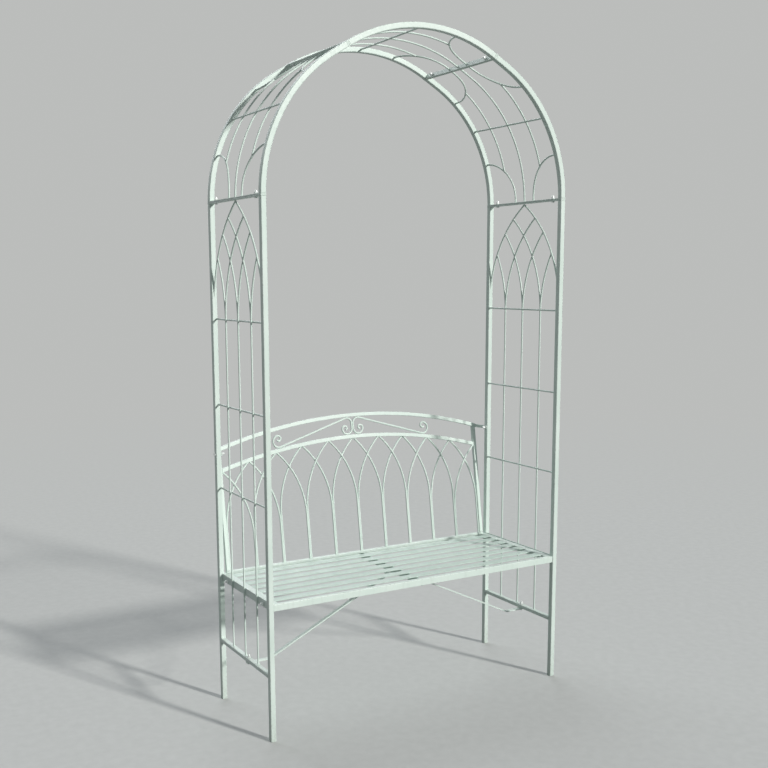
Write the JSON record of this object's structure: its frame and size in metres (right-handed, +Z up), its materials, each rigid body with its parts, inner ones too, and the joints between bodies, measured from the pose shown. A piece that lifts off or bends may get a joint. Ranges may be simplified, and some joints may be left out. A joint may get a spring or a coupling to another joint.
{
  "type": "arbour seat",
  "caption": "Painted metal garden arbour: a slatted bench with a leaning arcaded backrest between gothic lattice side panels under a round arch bolted together in sections.",
  "frame": {"origin": "on the ground, in the middle of the whole width and depth", "axes": "+X to the sitter's left-hand end as seen from the front (the viewer's right), +Y to the back, +Z up"},
  "size_m": [1.1566, 0.4718, 2.2264],
  "materials": {
    "frame_paint": "satin",
    "slat_paint": "satin",
    "fastener": "satin"
  },
  "bodies": {
    "root": {"left_front_post": "frame_paint", "left_rear_post": "frame_paint", "right_front_post": "frame_paint", "right_rear_post": "frame_paint", "left_panel_flange": "frame_paint", "left_lower_rail": "frame_paint", "left_grille": "frame_paint", "right_panel_flange": "frame_paint", "right_lower_rail": "frame_paint", "right_grille": "frame_paint", "arch_right_first_flange": "frame_paint", "arch_right_second_flange": "frame_paint", "arch_right_front_tube": "frame_paint", "arch_right_rear_tube": "frame_paint", "arch_right_lattice": "frame_paint", "arch_crown_first_flange": "frame_paint", "arch_crown_second_flange": "frame_paint", "arch_crown_front_tube": "frame_paint", "arch_crown_rear_tube": "frame_paint", "arch_crown_lattice": "frame_paint", "arch_left_first_flange": "frame_paint", "arch_left_second_flange": "frame_paint", "arch_left_front_tube": "frame_paint", "arch_left_rear_tube": "frame_paint", "arch_left_lattice": "frame_paint", "seat_front_rail": "frame_paint", "seat_rear_rail": "frame_paint", "seat_right_end_rail": "frame_paint", "seat_left_end_rail": "frame_paint", "left_brace": "frame_paint", "right_brace": "frame_paint", "backrest_top_rail": "frame_paint", "backrest_middle_rail": "frame_paint", "backrest_bottom_rail": "frame_paint", "backrest_grille": "frame_paint", "backrest_left_post": "frame_paint", "backrest_right_post": "frame_paint", "backrest_left_scroll": "frame_paint", "backrest_right_scroll": "frame_paint", "left_backrest_bracket": "frame_paint", "right_backrest_bracket": "frame_paint", "seat_slats": "slat_paint", "arch_left_front_bolt": "fastener", "arch_left_rear_bolt": "fastener", "arch_right_front_bolt": "fastener", "arch_right_rear_bolt": "fastener", "left_panel_front_bolt": "fastener", "left_panel_rear_bolt": "fastener", "left_seat_front_bolt": "fastener", "left_seat_rear_bolt": "fastener", "right_panel_front_bolt": "fastener", "right_panel_rear_bolt": "fastener", "right_seat_front_bolt": "fastener", "right_seat_rear_bolt": "fastener", "left_brace_foot_bolt": "fastener", "left_brace_head_bolt": "fastener", "right_brace_foot_bolt": "fastener", "right_brace_head_bolt": "fastener", "left_bracket_bolt": "fastener", "right_bracket_bolt": "fastener"}
  },
  "joints": []
}
